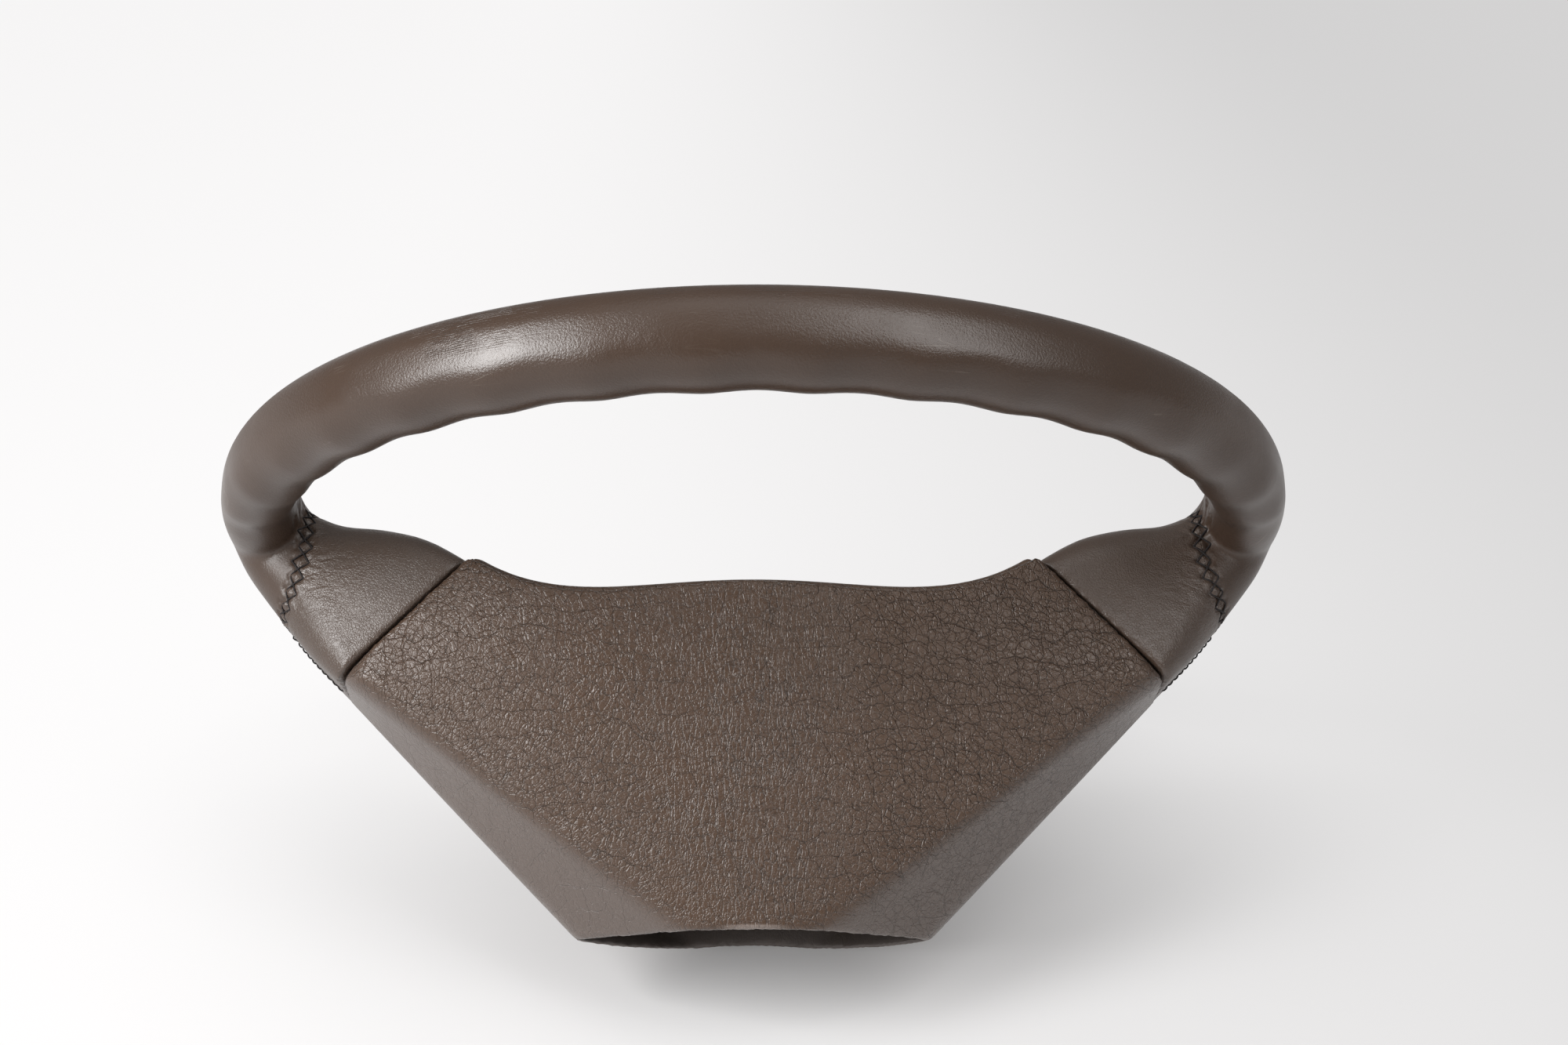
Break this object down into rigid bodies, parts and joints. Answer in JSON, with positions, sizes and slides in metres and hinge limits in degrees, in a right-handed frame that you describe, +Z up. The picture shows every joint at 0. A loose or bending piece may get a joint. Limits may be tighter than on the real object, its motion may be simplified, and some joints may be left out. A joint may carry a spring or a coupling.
{
  "type": "car steering wheel",
  "caption": "Round leather-wrapped car steering wheel with finger hollows, laced spokes, a grained funnel-shaped rear shroud and a sprung horn pad on a hub with a column bore.",
  "frame": {"origin": "on the column axis, at the rear face of the hub boss, where the steering shaft enters", "axes": "+Y rearward along the column, away from the driver; +Z up to twelve o'clock; +X to the driver's right"},
  "size_m": [0.3848, 0.168, 0.385],
  "materials": {
    "core_steel": "bare drawn tube",
    "frame_alloy": "cast, as it left the mould",
    "boss_steel": "turned",
    "fastener_steel": "zinc plated",
    "grip_foam": "moulded, matt",
    "rim_leather": "worn smooth, half gloss",
    "spoke_leather": "fine grain, half matt",
    "shroud_plastic": "coarse creased grain",
    "carrier_plastic": "plain moulded",
    "contact_brass": "bare",
    "plate_steel": "black, thin coat",
    "bush_plastic": "natural nylon",
    "spring_steel": "blued strip",
    "pad_skin": "soft grained skin"
  },
  "bodies": {
    "wheel": {"rim_core": "core_steel", "spoke_frame": "frame_alloy", "hub_boss": "boss_steel", "hub_rivets": "fastener_steel", "rim_foam": "grip_foam", "rim_leather": "rim_leather", "spoke_leather_right": "spoke_leather", "spoke_leather_left": "spoke_leather", "rear_shroud": "shroud_plastic", "shroud_screws": "fastener_steel", "slip_ring_carrier": "carrier_plastic", "slip_ring": "contact_brass", "contact_plate": "plate_steel", "plate_screws": "fastener_steel", "guide_bushes": "bush_plastic", "contact_insulators": "bush_plastic", "fixed_contacts": "contact_brass", "horn_springs": "spring_steel"},
    "pad": {"horn_pad": "pad_skin", "pad_plate": "plate_steel", "guide_studs": "fastener_steel", "stud_circlips": "spring_steel", "moving_contacts": "contact_brass"}
  },
  "joints": [
    {"name": "horn_press", "type": "slide", "parent": "wheel", "child": "pad", "axis": [0, 1, 0], "range_m": [0, 0.0025], "stiffness_N_per_m": 4000, "springref_m": -0.004, "deforming": ["horn_springs"]}
  ]
}
